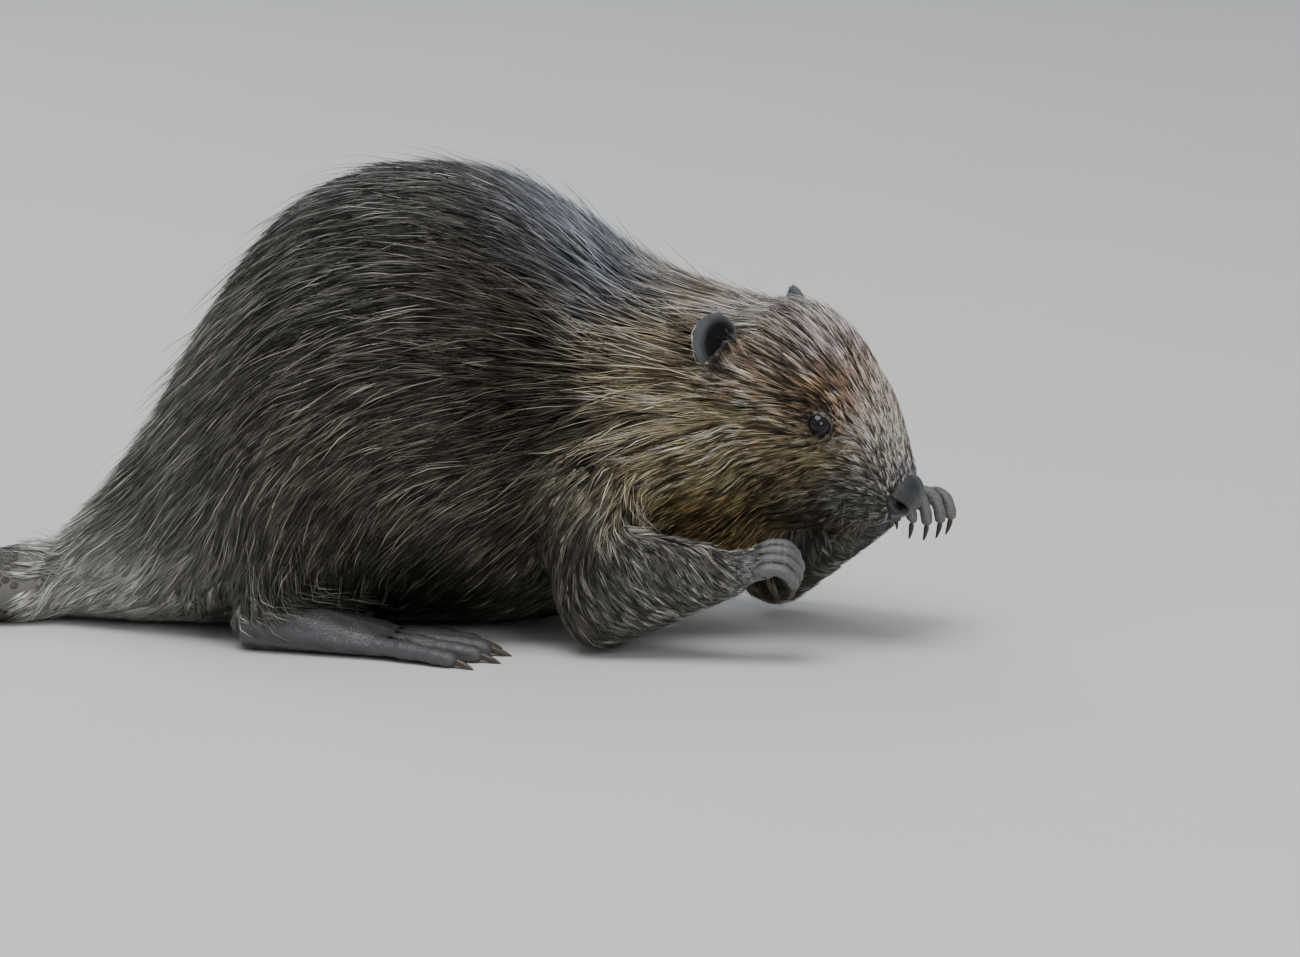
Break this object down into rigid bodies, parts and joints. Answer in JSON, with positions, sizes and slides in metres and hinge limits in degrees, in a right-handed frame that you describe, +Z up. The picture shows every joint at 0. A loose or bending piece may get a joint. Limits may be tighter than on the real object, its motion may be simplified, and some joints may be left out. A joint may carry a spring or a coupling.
{
  "type": "crouching beaver, still life-size model",
  "caption": "Life-size beaver crouched with arched back, flat scaly tail laid behind, webbed hind feet and both forepaws lifted to its mouth; a still, museum-style animal model.",
  "frame": {"origin": "middle of the base of the whole animal's box, on the floor it rests on", "axes": "+X forwards from tail to head, +Y to the animal's left, +Z up; the head is turned to its right, towards -Y"},
  "size_m": [0.791, 0.333, 0.2795],
  "materials": {
    "fur_body": "dense wet-look fur, dark brown with pale tips",
    "fur_face": "short fur, warm brown with grey on the brow",
    "fur_arm": "short silver-grey fur",
    "bare_skin": "wrinkled slate-grey skin, satin",
    "tail_skin": "scaled, satin",
    "claw_horn": "dark horn",
    "eye_dark": "wet gloss"
  },
  "bodies": {
    "root": {"trunk": "fur_body", "neck": "fur_body", "head": "fur_face", "nose": "bare_skin", "tail": "tail_skin", "ear_right": "fur_face", "eye_right": "eye_dark", "foreleg_right": "fur_arm", "forepaw_right": "bare_skin", "forepaw_right_claw_1": "claw_horn", "forepaw_right_claw_2": "claw_horn", "forepaw_right_claw_3": "claw_horn", "forepaw_right_claw_4": "claw_horn", "forepaw_right_claw_5": "claw_horn", "hindleg_right": "fur_body", "hindfoot_right": "bare_skin", "hindfoot_right_claw_1": "claw_horn", "hindfoot_right_claw_2": "claw_horn", "hindfoot_right_claw_3": "claw_horn", "hindfoot_right_claw_4": "claw_horn", "hindfoot_right_claw_5": "claw_horn", "ear_left": "fur_face", "eye_left": "eye_dark", "foreleg_left": "fur_arm", "forepaw_left": "bare_skin", "forepaw_left_claw_1": "claw_horn", "forepaw_left_claw_2": "claw_horn", "forepaw_left_claw_3": "claw_horn", "forepaw_left_claw_4": "claw_horn", "forepaw_left_claw_5": "claw_horn", "hindleg_left": "fur_body", "hindfoot_left": "bare_skin", "hindfoot_left_claw_1": "claw_horn", "hindfoot_left_claw_2": "claw_horn", "hindfoot_left_claw_3": "claw_horn", "hindfoot_left_claw_4": "claw_horn", "hindfoot_left_claw_5": "claw_horn"}
  },
  "joints": []
}
